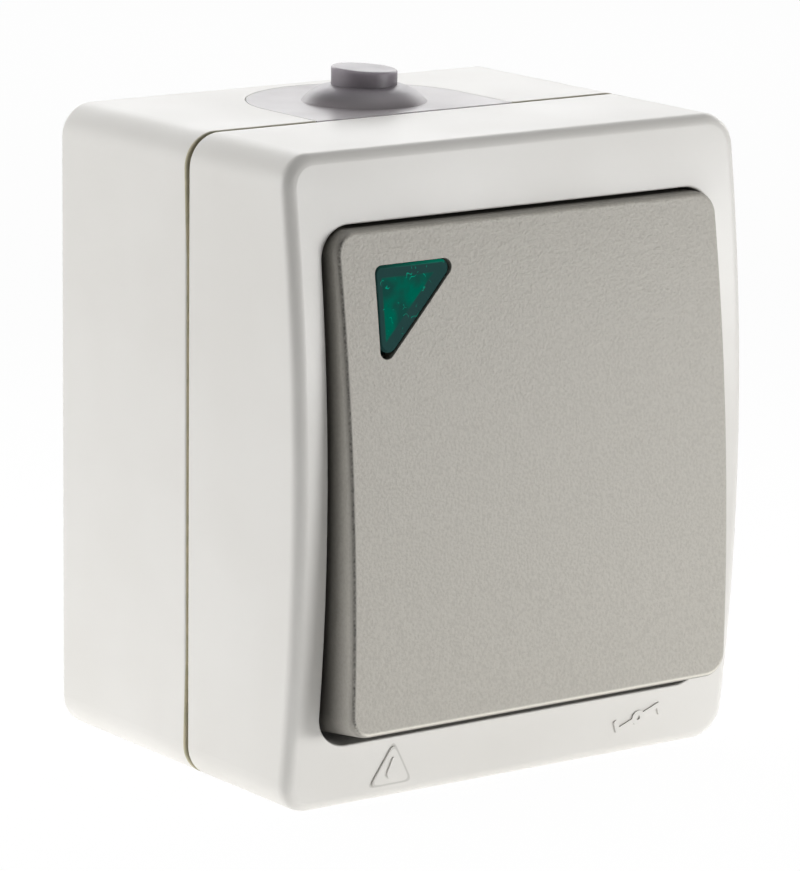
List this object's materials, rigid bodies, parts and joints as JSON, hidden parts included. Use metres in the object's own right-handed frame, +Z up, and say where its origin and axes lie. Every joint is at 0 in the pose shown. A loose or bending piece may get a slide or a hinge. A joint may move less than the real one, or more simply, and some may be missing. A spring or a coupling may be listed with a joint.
{
  "type": "two-way rocker switch",
  "caption": "Splash-proof surface wall switch: white two-shell box, large tilting rocker with a green corner lens, soft cable gland on top, two-way contact inside.",
  "frame": {"origin": "middle of the back face, which lies against the wall", "axes": "+Y into the wall, +Z up, +X right as seen from the front; the rocker faces -Y"},
  "size_m": [0.065, 0.0546, 0.081],
  "materials": {
    "housing_plastic": "moulded, satin gloss, warm white",
    "gland_rubber": "soft, smooth, mauve grey",
    "seal_rubber": "soft foam",
    "rocker_plastic": "moulded, fine grain, warm grey",
    "lens_plastic": "clear green, polished",
    "mechanism_plastic": "moulded, dark grey",
    "tumbler_plastic": "moulded, natural",
    "lead_sleeve": "sleeved wire",
    "resistor_body": "coated",
    "lamp_glass": "clear",
    "spring_steel": "drawn wire",
    "screw_steel": "zinc plated",
    "terminal_brass": "pressed",
    "blade_copper": "pressed copper",
    "contact_silver": "silver face"
  },
  "bodies": {
    "housing": {"rear_box": "housing_plastic", "front_cover": "housing_plastic", "cable_gland": "gland_rubber", "box_gasket": "seal_rubber", "mechanism_seal": "seal_rubber", "mechanism_base": "mechanism_plastic", "mechanism_bridge": "mechanism_plastic", "lamp_holder": "mechanism_plastic", "lamp_leads": "lead_sleeve", "lamp_resistor": "resistor_body", "indicator_lamp": "lamp_glass", "cover_screws": "screw_steel", "mechanism_screws": "screw_steel", "terminal_screws": "screw_steel", "bridge_rivets": "terminal_brass", "common_terminal": "terminal_brass", "traveller_terminal_one": "terminal_brass", "traveller_terminal_two": "terminal_brass", "terminal_clamps": "terminal_brass", "fixed_contacts": "contact_silver"},
    "rocker": {"rocker_button": "rocker_plastic", "indicator_lens": "lens_plastic", "tumbler": "tumbler_plastic", "plunger_spring": "spring_steel"},
    "plunger": {"plunger": "tumbler_plastic"},
    "contact_blade": {"contact_blade": "blade_copper", "blade_contacts": "contact_silver"}
  },
  "joints": [
    {"name": "rocker_tilt", "type": "hinge", "parent": "housing", "child": "rocker", "pos_m": [0, -0.0435, 0], "axis": [1, 0, 0], "range_deg": [0, 8]},
    {"name": "blade_tilt", "type": "hinge", "parent": "housing", "child": "contact_blade", "pos_m": [0, -0.02123, 0], "axis": [1, 0, 0], "range_deg": [-15, 0]},
    {"name": "plunger_slide", "type": "slide", "parent": "rocker", "child": "plunger", "axis": [0, -0.9976, 0.0698], "range_m": [0, 0.0012], "stiffness_N_per_m": 200, "springref_m": -0.001, "deforming": ["plunger_spring"]}
  ],
  "couplings": [
    {"joint": "blade_tilt", "follows": "rocker_tilt", "ratio": -1.875}
  ]
}
